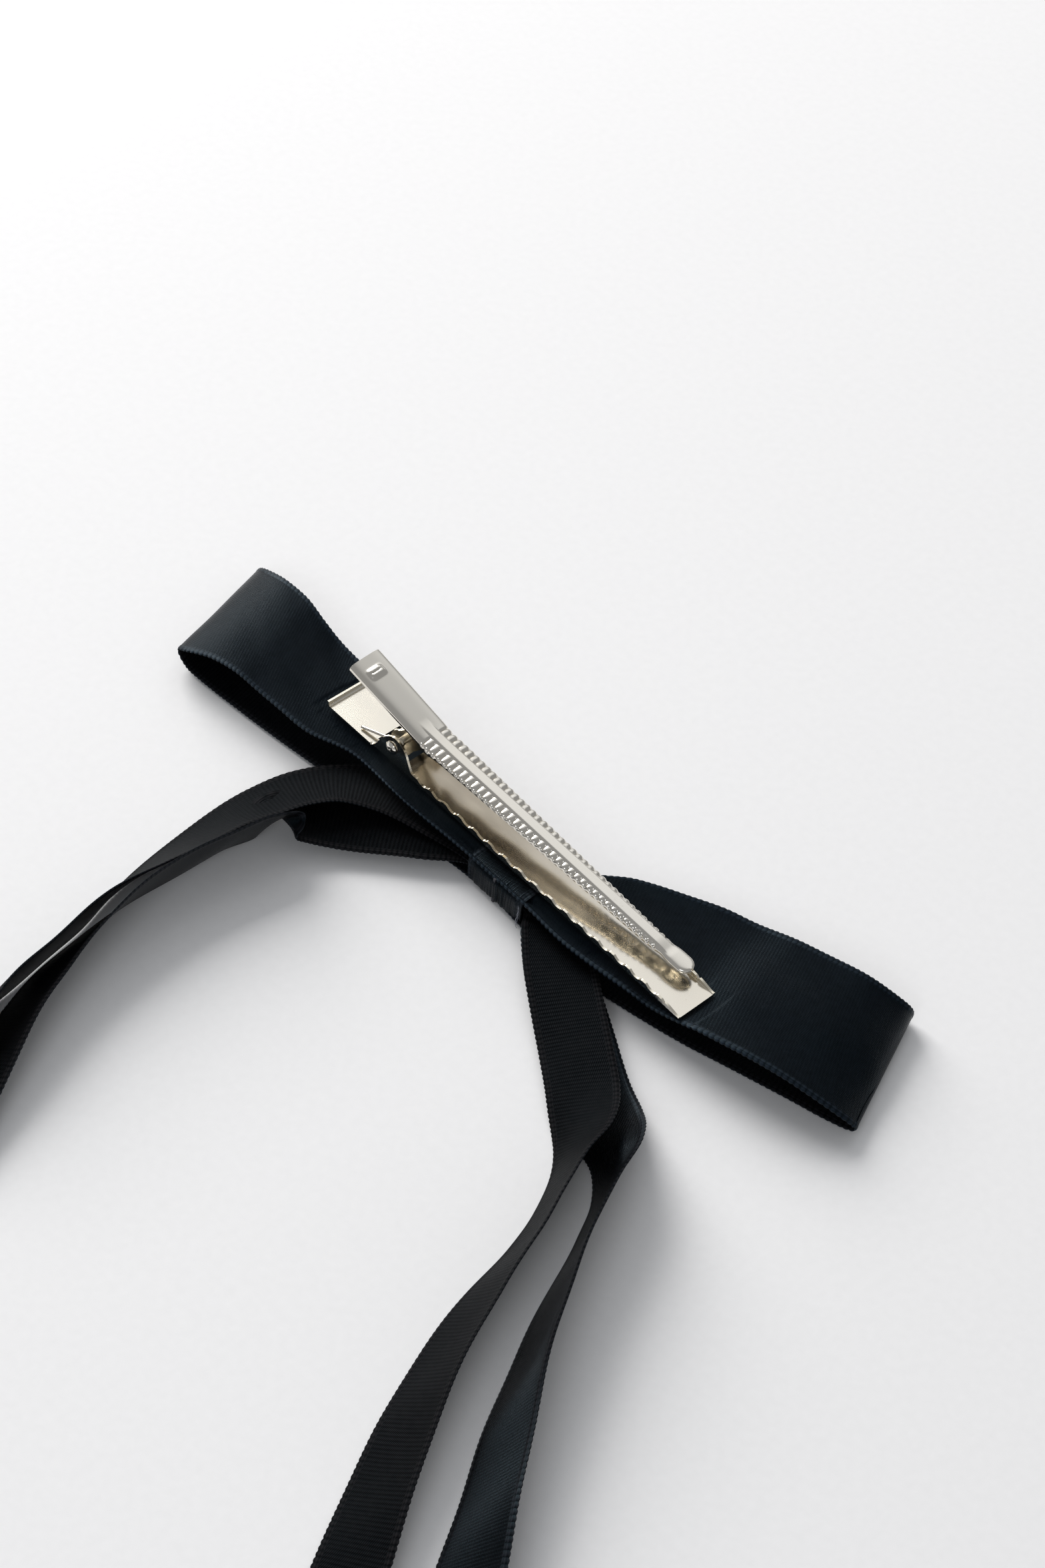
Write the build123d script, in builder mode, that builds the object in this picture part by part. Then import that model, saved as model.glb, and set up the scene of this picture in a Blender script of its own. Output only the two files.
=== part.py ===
"""Alligator hair clip with a satin ribbon bow on its back, millimetres.

The bow lies face down on z = 0 and the clip lies on it, jaws up. +X runs along the clip from the
finger levers to the tips, +Z is up, and the hinge pin lies along Y. The origin is on the resting
surface under the bow's knot, on the clip's centre line.
"""

from build123d import *

import os
from math import asin, atan2, cos, degrees, hypot, radians, sin

# ---- driving dimensions -------------------------------------------------------------------------
SHEET = 0.35  # thickness of the stamped steel
CLIP_LENGTH = 75.0  # lower jaw, lever end to tip
CLIP_BACK_X = -35.0  # the lower jaw's lever end
CLIP_WIDTH = 7.0  # outside width of the lower jaw
CLIP_Z = 6.0  # underside of the lower jaw, above the resting surface
RUN_CLEARANCE = 0.05  # radial clearance of the pin in the jaws

PIVOT_X = CLIP_BACK_X + 14.5
PIVOT_Z = CLIP_Z + 3.3
PIN_R = 0.65
PIN_HEAD_R = 0.98
PIN_HEAD_H = 0.55

EAR_R = 2.3  # rounded top of the lower jaw's ears
WALL_H = 1.4  # side walls of the lower jaw, from its underside
WALL_START = 4.4  # first wall point, beyond the pivot
WALL_STOP = 3.0  # smooth stretch left at the tip
SCALLOP_PITCH = 3.2
SCALLOP_R = 1.5
SCALLOP_DEPTH = 0.5
LIP_H = 0.9  # rolled lip at the end of the lower lever
LIP_LENGTH = 1.0
WINDOW_BACK = -4.6  # spring window between the ears, from the pivot
WINDOW_FRONT = 1.5
WINDOW_W = 4.0
WINDOW_CORNER = 0.8

# The upper jaw's own frame: u along it and w up, both from the pin's centre.
SKEW = 2.5  # play in the hinge lets the upper jaw lie askew, degrees about Z
LEVER_U, LEVER_W = -10.2, 8.7  # lever end, top surface
CREST_U, CREST_W = 5.3, 4.4  # where the lever meets the jaw
TONGUE_U, TONGUE_W = 56.5, -0.6  # tip of the smooth tongue
UPPER_LEVER_W = 5.8  # widths across the upper jaw
UPPER_CREST_W = 5.5
TONGUE_WIDTH = 2.7
FLANGE_H = 0.85  # turned-down sides of the upper jaw
UPPER_EAR_R = 2.1
UPPER_EAR_Y = 1.75  # outer face of the upper jaw's ears
BUMP_U = -7.6  # embossed finger stop across the upper lever
BUMP_LENGTH, BUMP_WIDTH, BUMP_H = 2.8, 1.2, 0.3

WIRE = 0.5  # spring wire
COIL_R = 1.45  # to the middle of the wire
COIL_LENGTH = 2.5

RIBBON_W = 22.0  # wide ribbon of the loops
TAIL_W = 10.0  # narrow ribbon of the tails
RIBBON_T = 0.35
BOW_TOP = 5.55  # top of the loops' back layer
FRONT_Z = 0.3  # underside of the loops' front layer
KNOT_X, KNOT_Y = 5.0, -0.5  # centre of the knot
KNOT_LENGTH, KNOT_WIDTH = 12.0, 11.0
WRAP_T = 0.3
WRAP_LENGTH = 11.0
SLOT_LOW, SLOT_HIGH = 2.2, 3.3  # the tails cross the knot between these heights
THREAD = 0.4
PAD_LENGTH, PAD_WIDTH, PAD_CORNER = 26.0, 5.0, 2.0
CUT = 20.0  # depth of a cut that passes right through a clip part
ACROSS_LOOP = 80.0  # width of a cut or a run that passes right across a loop

os.makedirs("parts", exist_ok=True)


def finish(part, name):
    part.label = name
    export_step(part, f"parts/{name}.step")
    print(f"{name}: {len(part.solids())} solid(s), {part.volume:.2f} mm3")


def side_plane(y):
    """A plane facing -Y, so that sketch x is row X and sketch y is row Z."""
    return Plane(origin=(0, y, 0), x_dir=(1, 0, 0), z_dir=(0, -1, 0))


# ---- lower jaw ----------------------------------------------------------------------------------
# One strip: lever and jaw in line, with an ear each side at the pin and a low scalloped wall each
# side from the ears to the tip.
half_w = CLIP_WIDTH / 2
clip_tip_x = CLIP_BACK_X + CLIP_LENGTH
floor_top = CLIP_Z + SHEET
wall_top = CLIP_Z + WALL_H
wall_x = PIVOT_X + WALL_START
n_scallops = int((clip_tip_x - WALL_STOP - wall_x) / SCALLOP_PITCH)

with BuildPart() as lower_jaw:
    with BuildSketch(Plane.XY.offset(CLIP_Z)):
        with Locations((CLIP_BACK_X + CLIP_LENGTH / 2, 0)):
            Rectangle(CLIP_LENGTH, CLIP_WIDTH)
    extrude(amount=SHEET)
    # rolled lip, standing up across the lever's end
    with BuildSketch(side_plane(half_w)):
        with BuildLine():
            l1 = Line((CLIP_BACK_X, CLIP_Z), (CLIP_BACK_X + LIP_LENGTH, CLIP_Z))
            l2 = Line(l1 @ 1, (CLIP_BACK_X + LIP_LENGTH, floor_top))
            lip_mid = (CLIP_BACK_X + LIP_LENGTH / 2, CLIP_Z + LIP_LENGTH / 2)
            l3 = ThreePointArc(l2 @ 1, lip_mid, (CLIP_BACK_X + SHEET, CLIP_Z + LIP_H))
            l4 = Line(l3 @ 1, (CLIP_BACK_X, CLIP_Z + LIP_H))
            Line(l4 @ 1, l1 @ 0)
        make_face()
    extrude(amount=CLIP_WIDTH)
    # ear and side wall in one outline, on each side
    for y in (-half_w + SHEET, half_w):
        with BuildSketch(side_plane(y)):
            with BuildLine():
                e1 = Line((PIVOT_X - 4.0, CLIP_Z), (PIVOT_X - 4.0, CLIP_Z + 0.8))
                e2 = Line(e1 @ 1, (PIVOT_X - EAR_R + 0.1, PIVOT_Z + 0.7))
                e3 = ThreePointArc(e2 @ 1, (PIVOT_X + 0.3, PIVOT_Z + EAR_R), (PIVOT_X + 2.6, PIVOT_Z + 1.2))
                e4 = Line(e3 @ 1, (wall_x - 0.6, wall_top + 0.9))
                e5 = Line(e4 @ 1, (wall_x, wall_top))
                e6 = Line(e5 @ 1, (clip_tip_x - WALL_STOP, wall_top - 0.3))
                e7 = Line(e6 @ 1, (clip_tip_x, floor_top + 0.1))
                e8 = Line(e7 @ 1, (clip_tip_x, CLIP_Z))
                Line(e8 @ 1, e1 @ 0)
            make_face()
        extrude(amount=SHEET)
    # scallops along the tops of both walls
    for i in range(n_scallops):
        x = wall_x + (i + 0.75) * SCALLOP_PITCH
        with BuildSketch(side_plane(half_w + 1)):
            with Locations((x, wall_top + SCALLOP_R - SCALLOP_DEPTH)):
                Circle(SCALLOP_R)
        extrude(amount=CLIP_WIDTH + 2, mode=Mode.SUBTRACT)
    # spring window in the floor, and the pin's holes through both ears
    with BuildSketch(Plane.XY.offset(CLIP_Z - 1)):
        with Locations((PIVOT_X + (WINDOW_BACK + WINDOW_FRONT) / 2, 0)):
            RectangleRounded(WINDOW_FRONT - WINDOW_BACK, WINDOW_W, WINDOW_CORNER)
    extrude(amount=SHEET + 1.5, mode=Mode.SUBTRACT)
    with BuildSketch(side_plane(half_w + 1)):
        with Locations((PIVOT_X, PIVOT_Z)):
            Circle(PIN_R + RUN_CLEARANCE)
    extrude(amount=CLIP_WIDTH + 2, mode=Mode.SUBTRACT)
finish(lower_jaw.part, "lower_jaw")

# ---- upper jaw ----------------------------------------------------------------------------------
# One strip: the lever slopes down to the crest, and the jaw slopes on down to its tongue. It is
# narrow enough to hinge between the lower jaw's ears, and it lies askew by the play in the hinge.
upper_frame = Plane(
    origin=(PIVOT_X, 0, PIVOT_Z), x_dir=(cos(radians(SKEW)), sin(radians(SKEW)), 0), z_dir=(0, 0, 1)
)


def upper_side(v):
    """The plane at v across the upper jaw, facing -v: sketch x is u and sketch y is w."""
    origin = upper_frame.from_local_coords(Vector(0, v, 0))
    return Plane(origin=origin, x_dir=upper_frame.x_dir, z_dir=-upper_frame.y_dir)


with BuildPart() as upper_jaw:
    # the strip's side view, as a channel as deep as its flanges
    with BuildSketch(upper_side(UPPER_LEVER_W / 2)):
        with BuildLine():
            Polyline(
                (LEVER_U, LEVER_W),
                (CREST_U, CREST_W),
                (TONGUE_U, TONGUE_W),
                (TONGUE_U, TONGUE_W - SHEET),
                (TONGUE_U - 3.0, TONGUE_W - FLANGE_H + 0.3),
                (CREST_U + 2.0, CREST_W - FLANGE_H - 0.2),
                (CREST_U - 1.0, CREST_W - FLANGE_H - 0.4),
                (LEVER_U + 0.3, LEVER_W - FLANGE_H),
                (LEVER_U, LEVER_W - SHEET),
                close=True,
            )
        make_face()
    extrude(amount=UPPER_LEVER_W)
    # the hollow under it, between the flanges
    with BuildSketch(upper_frame.offset(-CUT / 4)):
        with BuildLine():
            Polyline(
                (LEVER_U - 1, -UPPER_LEVER_W / 2 + SHEET),
                (CREST_U, -UPPER_CREST_W / 2 + SHEET),
                (TONGUE_U - 3.5, -TONGUE_WIDTH / 2 + SHEET),
                (TONGUE_U - 3.5, TONGUE_WIDTH / 2 - SHEET),
                (CREST_U, UPPER_CREST_W / 2 - SHEET),
                (LEVER_U - 1, UPPER_LEVER_W / 2 - SHEET),
                close=True,
            )
        make_face()
    extrude(amount=CUT, mode=Mode.SUBTRACT)
    # the sheet across the top
    with BuildSketch(upper_side(UPPER_LEVER_W / 2)):
        with BuildLine():
            Polyline(
                (LEVER_U, LEVER_W),
                (CREST_U, CREST_W),
                (TONGUE_U, TONGUE_W),
                (TONGUE_U, TONGUE_W - SHEET),
                (CREST_U, CREST_W - SHEET),
                (LEVER_U, LEVER_W - SHEET),
                close=True,
            )
        make_face()
    extrude(amount=UPPER_LEVER_W)
    # its outline seen from above: the sides draw in to the rounded tongue
    with BuildSketch(upper_frame.offset(-CUT / 4)):
        with BuildLine():
            o1 = Polyline(
                (TONGUE_U - TONGUE_WIDTH / 2, -TONGUE_WIDTH / 2),
                (CREST_U, -UPPER_CREST_W / 2),
                (LEVER_U, -UPPER_LEVER_W / 2),
                (LEVER_U, UPPER_LEVER_W / 2),
                (CREST_U, UPPER_CREST_W / 2),
                (TONGUE_U - TONGUE_WIDTH / 2, TONGUE_WIDTH / 2),
            )
            ThreePointArc(o1 @ 1, (TONGUE_U, 0), o1 @ 0)
        make_face()
    extrude(amount=CUT, mode=Mode.INTERSECT)
    # ears: a round eye about the pin on a neck that rises to the crest
    for v in (-UPPER_EAR_Y + SHEET, UPPER_EAR_Y):
        with BuildSketch(upper_side(v)):
            Circle(UPPER_EAR_R)
            with BuildLine():
                Polyline(
                    (0.0, -UPPER_EAR_R + 0.2),
                    (UPPER_EAR_R - 0.1, 0.0),
                    (CREST_U + 1.5, CREST_W - SHEET - 0.1),
                    (CREST_U - 4.0, CREST_W + 0.8),
                    (-0.4, UPPER_EAR_R - 0.4),
                    close=True,
                )
            make_face()
        extrude(amount=SHEET)
    # the embossed finger stop across the lever
    slope = degrees(atan2(LEVER_W - CREST_W, CREST_U - LEVER_U))
    bump_w = LEVER_W - (BUMP_U - LEVER_U) * (LEVER_W - CREST_W) / (CREST_U - LEVER_U)
    lever_plane = Plane(
        origin=upper_frame.from_local_coords(Vector(BUMP_U, 0, bump_w)),
        x_dir=upper_frame.x_dir * cos(radians(slope)) - Vector(0, 0, sin(radians(slope))),
        z_dir=upper_frame.x_dir * sin(radians(slope)) + Vector(0, 0, cos(radians(slope))),
    )
    with BuildSketch(lever_plane):
        SlotOverall(BUMP_LENGTH, BUMP_WIDTH, rotation=90)
    extrude(amount=BUMP_H, taper=20)
    # the pin's hole, square to the row's axes, through both ears
    with BuildSketch(side_plane(half_w)):
        with Locations((PIVOT_X, PIVOT_Z)):
            Circle(PIN_R + RUN_CLEARANCE)
    extrude(amount=CLIP_WIDTH, mode=Mode.SUBTRACT)
finish(upper_jaw.part, "upper_jaw")

# ---- pivot pin ----------------------------------------------------------------------------------
# A rivet: a plain shank with a domed head each side of the lower jaw's ears. Each dome is a cap of
# a sphere, drawn from the rim up to the axis.
pin_end = half_w + RUN_CLEARANCE
dome_r = (PIN_HEAD_R**2 + PIN_HEAD_H**2) / (2 * PIN_HEAD_H)
dome_mid = asin(PIN_HEAD_R / dome_r) / 2
mid_x = dome_r * sin(dome_mid)
mid_y = pin_end + PIN_HEAD_H - dome_r * (1 - cos(dome_mid))
dome_y = pin_end + PIN_HEAD_H
with BuildPart() as pivot_pin:
    with BuildSketch(Plane(origin=(PIVOT_X, 0, PIVOT_Z), x_dir=(1, 0, 0), z_dir=(0, 0, 1))):
        with BuildLine():
            Line((0, -dome_y), (0, dome_y))
            ThreePointArc((0, dome_y), (mid_x, mid_y), (PIN_HEAD_R, pin_end))
            Polyline((PIN_HEAD_R, pin_end), (PIN_R, pin_end), (PIN_R, -pin_end), (PIN_HEAD_R, -pin_end))
            ThreePointArc((PIN_HEAD_R, -pin_end), (mid_x, -mid_y), (0, -dome_y))
        make_face()
    revolve(axis=Axis((PIVOT_X, 0, PIVOT_Z), (0, 1, 0)))
finish(pivot_pin.part, "pivot_pin")

# ---- torsion spring -----------------------------------------------------------------------------
# The coil is a plain sleeve about the pin; one leg lies on the lower lever and the other pushes up
# under the upper lever.
LEGS = (
    ((-0.2, -0.85, -COIL_R), (-7.7, -2.75, SHEET + WIRE / 2 + 0.03 - (PIVOT_Z - CLIP_Z))),
    ((-COIL_R, 0.85, 0.4), (-6.6, 1.1, 6.85)),
)
with BuildPart() as torsion_spring:
    with BuildSketch(side_plane(COIL_LENGTH / 2)):
        with Locations((PIVOT_X, PIVOT_Z)):
            Circle(COIL_R + WIRE / 2)
            Circle(COIL_R - WIRE / 2, mode=Mode.SUBTRACT)
    extrude(amount=COIL_LENGTH)
    for start, end in LEGS:
        a = Vector(PIVOT_X, 0, PIVOT_Z) + Vector(*start)
        b = Vector(PIVOT_X, 0, PIVOT_Z) + Vector(*end)
        with BuildSketch(Plane(origin=a, z_dir=b - a)):
            Circle(WIRE / 2)
        extrude(amount=(b - a).length)
finish(torsion_spring.part, "torsion_spring")

# ---- bow loops ----------------------------------------------------------------------------------
# One wide ribbon folded into two loops that meet in a gathered knot. Each loop is a flat racetrack
# across its end fold, cut to a plan outline that narrows towards the knot.
# (end fold's far corner, end fold's near corner, knot side x, height of the loop's round end)
LOOPS = {
    "left": ((-66.0, 8.6), (-59.3, -11.9), KNOT_X - KNOT_LENGTH / 2, 5.0),
    "right": ((57.6, 25.4), (66.2, 4.9), KNOT_X + KNOT_LENGTH / 2, 3.4),
}


def loop_outline(far, near, knot_x):
    """Plan outline of a loop, running into the knot so that the two loops join there."""
    inward = -KNOT_LENGTH / 4 if knot_x > KNOT_X else KNOT_LENGTH / 4
    top, low = KNOT_Y + KNOT_WIDTH / 2, KNOT_Y - KNOT_WIDTH / 2
    return (far, near, (knot_x, low), (knot_x + inward, low), (knot_x + inward, top), (knot_x, top))


def loop_plane(far, near, knot_x):
    """The upright plane across a loop's end fold, its origin at the knot, and the loop's length."""
    edge = Vector(near[0] - far[0], near[1] - far[1], 0).normalized()
    out = Vector(0, 0, 1).cross(edge)
    if out.X * (knot_x - KNOT_X) < 0:
        out = -out
    side = out.cross(Vector(0, 0, 1))
    middle = Vector((far[0] + near[0]) / 2, (far[1] + near[1]) / 2, 0)
    knot = Vector(KNOT_X, KNOT_Y, 0)
    return Plane(origin=knot - side * ACROSS_LOOP / 2, x_dir=out, z_dir=side), (middle - knot).dot(out)


loop_parts = []
for far, near, knot_x, end_h in LOOPS.values():
    plane, length = loop_plane(far, near, knot_x)
    with BuildPart() as one_loop:
        # the racetrack: flat along the front layer, with a rounded end; then its hollow, a layer in
        for inset, mode in ((0, Mode.ADD), (RIBBON_T, Mode.SUBTRACT)):
            low, high = FRONT_Z + inset, BOW_TOP - inset
            r = end_h / 2 - inset
            end = length - inset - r
            with BuildSketch(plane):
                with BuildLine():
                    Line((-KNOT_LENGTH / 2, low), (end, low))
                    ThreePointArc((end, low), (end + r, low + r), (end, low + 2 * r))
                    Polyline(
                        (end, low + 2 * r),
                        (length / 2, high),
                        (-KNOT_LENGTH / 2, high),
                        (-KNOT_LENGTH / 2, low),
                    )
                make_face()
            extrude(amount=ACROSS_LOOP, mode=mode)
        with BuildSketch(Plane.XY):
            with BuildLine():
                Polyline(*loop_outline(far, near, knot_x), close=True)
            make_face()
        extrude(amount=CUT, mode=Mode.INTERSECT)
    loop_parts.append(one_loop.part)

knot_height = BOW_TOP - WRAP_T - FRONT_Z
knot_mid_z = FRONT_Z + knot_height / 2
with BuildPart() as bow_loops:
    add(loop_parts)
    # the gathered layers in the knot, with a slot between them for the tails
    for low, high in ((FRONT_Z, SLOT_LOW), (SLOT_HIGH, BOW_TOP - WRAP_T)):
        with BuildSketch(Plane.XY.offset(low)):
            with Locations((KNOT_X, KNOT_Y)):
                Rectangle(KNOT_LENGTH, KNOT_WIDTH)
        extrude(amount=high - low)
    # a groove all round the knot for the binding thread
    with BuildSketch(Plane(origin=(KNOT_X - THREAD / 2, 0, 0), x_dir=(0, 1, 0), z_dir=(1, 0, 0))):
        with Locations((KNOT_Y, knot_mid_z)):
            Rectangle(KNOT_WIDTH + 2, knot_height + 2)
            Rectangle(KNOT_WIDTH - 2 * THREAD, knot_height - 2 * THREAD, mode=Mode.SUBTRACT)
    extrude(amount=THREAD, mode=Mode.SUBTRACT)
    # the wrap presses the back layer down inside the knot
    with BuildSketch(Plane.XY.offset(BOW_TOP - WRAP_T)):
        with Locations((KNOT_X, KNOT_Y)):
            Rectangle(KNOT_LENGTH, KNOT_WIDTH + 4)
    extrude(amount=1, mode=Mode.SUBTRACT)
finish(bow_loops.part, "bow_loops")

# ---- tails --------------------------------------------------------------------------------------
# Two narrow ribbons cross the knot between its layers, each with one end out to the left and one
# out to the right. A ribbon curves freely only on its edge, so each one rolls up on edge as it
# turns. A station is x, y, the height of the ribbon's middle, and its roll from flat in degrees.
TAILS = {
    "tail_ribbon_upper": (
        (-13.8, -107.0, 0.5, 0),
        (-16.0, -97.5, 1.7, -14),
        (-18.4, -88.0, 3.0, -32),
        (-20.8, -79.0, 4.2, -52),
        (-22.8, -70.5, 4.8, -66),
        (-24.2, -62.5, 4.9, -69),
        (-25.6, -55.0, 4.9, -69),
        (-27.0, -48.0, 4.6, -60),
        (-27.8, -41.0, 4.0, -49),
        (-28.2, -33.6, 3.4, -36),
        (-28.2, -26.9, 3.5, -31),
        (-27.4, -21.1, 3.6, -24),
        (-25.9, -15.4, 3.8, -18),
        (-22.9, -10.2, 3.8, -16),
        (-17.5, -5.5, 3.4, -10),
        (-10.0, -2.2, 3.1, -2),
        (-2.0, KNOT_Y, 3.0, 0),
        (12.0, KNOT_Y, 3.0, 0),
        (16.0, -3.8, 3.0, 2),
        (21.0, -7.8, 2.9, 6),
        (27.5, -12.2, 2.7, 10),
        (33.0, -15.8, 2.5, 12),
        (38.8, -19.9, 2.6, 18),
        (43.6, -24.6, 3.6, 40),
        (47.0, -30.0, 4.7, 62),
        (50.0, -36.3, 4.9, 69),
        (52.4, -42.7, 4.7, 63),
        (54.8, -51.5, 4.4, 56),
        (57.8, -60.5, 4.0, 48),
        (61.8, -69.5, 3.6, 42),
        (66.5, -78.5, 2.9, 32),
        (72.0, -88.0, 2.1, 22),
        (78.0, -98.0, 1.1, 9),
        (84.5, -108.5, 0.4, 0),
    ),
    "tail_ribbon_lower": (
        (-1.5, -106.0, 0.5, 0),
        (-6.4, -96.5, 1.0, -8),
        (-11.0, -87.0, 1.9, -19),
        (-15.4, -78.0, 2.9, -33),
        (-19.0, -70.1, 3.7, -44),
        (-21.7, -62.6, 3.9, -48),
        (-23.5, -54.7, 4.3, -56),
        (-24.5, -47.0, 4.7, -65),
        (-24.6, -39.0, 4.7, -66),
        (-24.0, -30.9, 4.8, -64),
        (-23.0, -24.3, 4.7, -61),
        (-22.8, -22.1, 4.1, -27),
        (-22.0, -18.0, 2.7, -4),
        (-16.8, -12.8, 2.4, 1),
        (-10.0, -6.6, 2.4, 0),
        (-2.0, KNOT_Y, 2.5, 0),
        (12.0, KNOT_Y, 2.5, 0),
        (16.5, -4.3, 2.2, 0),
        (22.5, -8.6, 1.6, 0),
        (30.0, -12.7, 1.0, 0),
        (38.3, -17.2, 0.8, 0),
        (44.6, -20.6, 1.9, 18),
        (49.8, -24.0, 4.1, 50),
        (53.4, -29.0, 4.9, 72),
        (56.3, -34.8, 5.0, 74),
        (60.0, -42.5, 4.9, 70),
        (64.5, -51.3, 4.7, 63),
        (70.0, -60.5, 4.2, 53),
        (76.2, -69.8, 3.7, 44),
        (82.5, -79.0, 2.9, 32),
        (89.0, -88.5, 1.8, 18),
        (96.0, -98.5, 0.7, 4),
    ),
}


def station_plane(stations, i):
    """The plane square to a ribbon's path at station i: sketch x runs across the ribbon."""
    x, y, z, roll = stations[i]
    before, after = stations[max(i - 1, 0)], stations[min(i + 1, len(stations) - 1)]
    ahead = Vector(after[0] - before[0], after[1] - before[1], 0).normalized()
    level = Vector(0, 0, 1).cross(ahead)
    across = level * cos(radians(roll)) + Vector(0, 0, 1) * sin(radians(roll))
    return Plane(origin=(x, y, z), x_dir=across, z_dir=ahead)


for name, stations in TAILS.items():
    with BuildPart() as tail:
        for i in range(len(stations)):
            with BuildSketch(station_plane(stations, i)):
                Rectangle(TAIL_W, RIBBON_T)
        loft(ruled=True)
    finish(tail.part, name)
    run = sum(hypot(b[0] - a[0], b[1] - a[1]) for a, b in zip(stations, stations[1:]))
    print(f"  route {run:.0f} mm, volume over section {tail.part.volume / TAIL_W / RIBBON_T:.0f} mm")

# ---- centre wrap, binding thread and glue pad ---------------------------------------------------
with BuildPart() as centre_wrap:
    with BuildSketch(Plane(origin=(KNOT_X - WRAP_LENGTH / 2, 0, 0), x_dir=(0, 1, 0), z_dir=(1, 0, 0))):
        with Locations((KNOT_Y, BOW_TOP / 2)):
            Rectangle(KNOT_WIDTH + 2 * WRAP_T, BOW_TOP)
            Rectangle(KNOT_WIDTH, BOW_TOP - 2 * WRAP_T, mode=Mode.SUBTRACT)
    extrude(amount=WRAP_LENGTH)
finish(centre_wrap.part, "centre_wrap")

with BuildPart() as binding_thread:
    with BuildSketch(Plane(origin=(KNOT_X - THREAD / 2, 0, 0), x_dir=(0, 1, 0), z_dir=(1, 0, 0))):
        with Locations((KNOT_Y, knot_mid_z)):
            Rectangle(KNOT_WIDTH, knot_height)
            Rectangle(KNOT_WIDTH - 2 * THREAD, knot_height - 2 * THREAD, mode=Mode.SUBTRACT)
    extrude(amount=THREAD)
finish(binding_thread.part, "binding_thread")

with BuildPart() as glue_pad:
    with BuildSketch(Plane.XY.offset(BOW_TOP)):
        with Locations((KNOT_X, 0)):
            RectangleRounded(PAD_LENGTH, PAD_WIDTH, PAD_CORNER)
    extrude(amount=CLIP_Z - BOW_TOP)
finish(glue_pad.part, "glue_pad")
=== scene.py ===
# %% [markdown]
# # A ribbon bow on an alligator clip
# The bow lies face down on the table and the steel clip lies on its back, with the jaws up. The
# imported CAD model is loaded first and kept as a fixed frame: every surface made below takes its place
# from it. Lengths are written in millimetres, and mm turns them into metres for Blender.

import bpy
import numpy as np
from mathutils import Matrix, Vector


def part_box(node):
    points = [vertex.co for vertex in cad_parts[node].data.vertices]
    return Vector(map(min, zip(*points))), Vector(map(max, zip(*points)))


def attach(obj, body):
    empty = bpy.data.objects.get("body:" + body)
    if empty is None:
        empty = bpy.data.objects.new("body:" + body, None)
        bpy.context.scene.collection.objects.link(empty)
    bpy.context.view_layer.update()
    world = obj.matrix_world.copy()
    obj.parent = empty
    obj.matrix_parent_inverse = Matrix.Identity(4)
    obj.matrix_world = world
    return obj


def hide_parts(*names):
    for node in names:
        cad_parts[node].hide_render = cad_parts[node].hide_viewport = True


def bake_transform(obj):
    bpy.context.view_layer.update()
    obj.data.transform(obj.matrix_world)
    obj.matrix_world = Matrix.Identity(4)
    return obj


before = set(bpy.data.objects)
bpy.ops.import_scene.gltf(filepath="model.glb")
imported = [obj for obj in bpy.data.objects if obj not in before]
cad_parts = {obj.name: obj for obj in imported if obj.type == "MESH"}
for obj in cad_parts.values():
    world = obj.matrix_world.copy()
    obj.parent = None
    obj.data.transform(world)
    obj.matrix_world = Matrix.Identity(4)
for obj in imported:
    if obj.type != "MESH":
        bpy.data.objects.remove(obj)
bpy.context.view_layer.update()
mm = 0.001


# %% [markdown]
# The places that the looks need are read from the frame: the lower jaw's box gives the clip's ends and
# width, the pin's box gives the hinge, and the wrap's box gives the knot.

# %% Places taken from the frame
def box_mm(node):
    """The lowest and highest corner of a node, as two arrays in millimetres."""
    low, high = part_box(node)
    return np.array(low) / mm, np.array(high) / mm


jaw_low, jaw_high = box_mm("lower_jaw")
pin_low, pin_high = box_mm("pivot_pin")
wrap_low, wrap_high = box_mm("centre_wrap")
PIVOT = (pin_low + pin_high) / 2
KNOT = (wrap_low + wrap_high) / 2
CLIP_BACK = jaw_low[0]
CLIP_TIP = jaw_high[0]
CLIP_UNDER = jaw_low[2]
CLIP_HALF = jaw_high[1]
STEEL = 0.35
print("pivot", PIVOT.round(2), "knot", KNOT.round(2), "clip", round(CLIP_TIP - CLIP_BACK, 1), "mm long")

# %% [markdown]
# ## How a stamped or woven sheet is made
# Sheet steel and ribbon are both thin sheets with two faces and a cut edge. One helper makes them all:
# it takes the middle surface as a grid of points, finds the normal at each point from the grid's own
# slopes, and steps half a thickness to each side. The rim is stitched where a face has no neighbour,
# so a window left out of the grid gets its own cut edge too, and the shell is always closed.


# %% Grid helpers
def smooth_step(x, start, end):
    """0 before start, 1 after end, and 3t^2 - 2t^3 between them."""
    t = np.clip((x - start) / (end - start), 0, 1)
    return t * t * (3 - 2 * t)


def normals_of(grid, closed=False):
    """Unit normals of a grid of points: the cross product of its slopes along rows and columns. In a
    closed grid the last row is followed by the first."""
    if closed:
        grid = np.concatenate([grid[-1:], grid, grid[:1]])
    normal = np.cross(np.gradient(grid, axis=0), np.gradient(grid, axis=1))
    normal /= np.maximum(np.linalg.norm(normal, axis=2, keepdims=True), 1e-12)
    return normal[1:-1] if closed else normal


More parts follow.
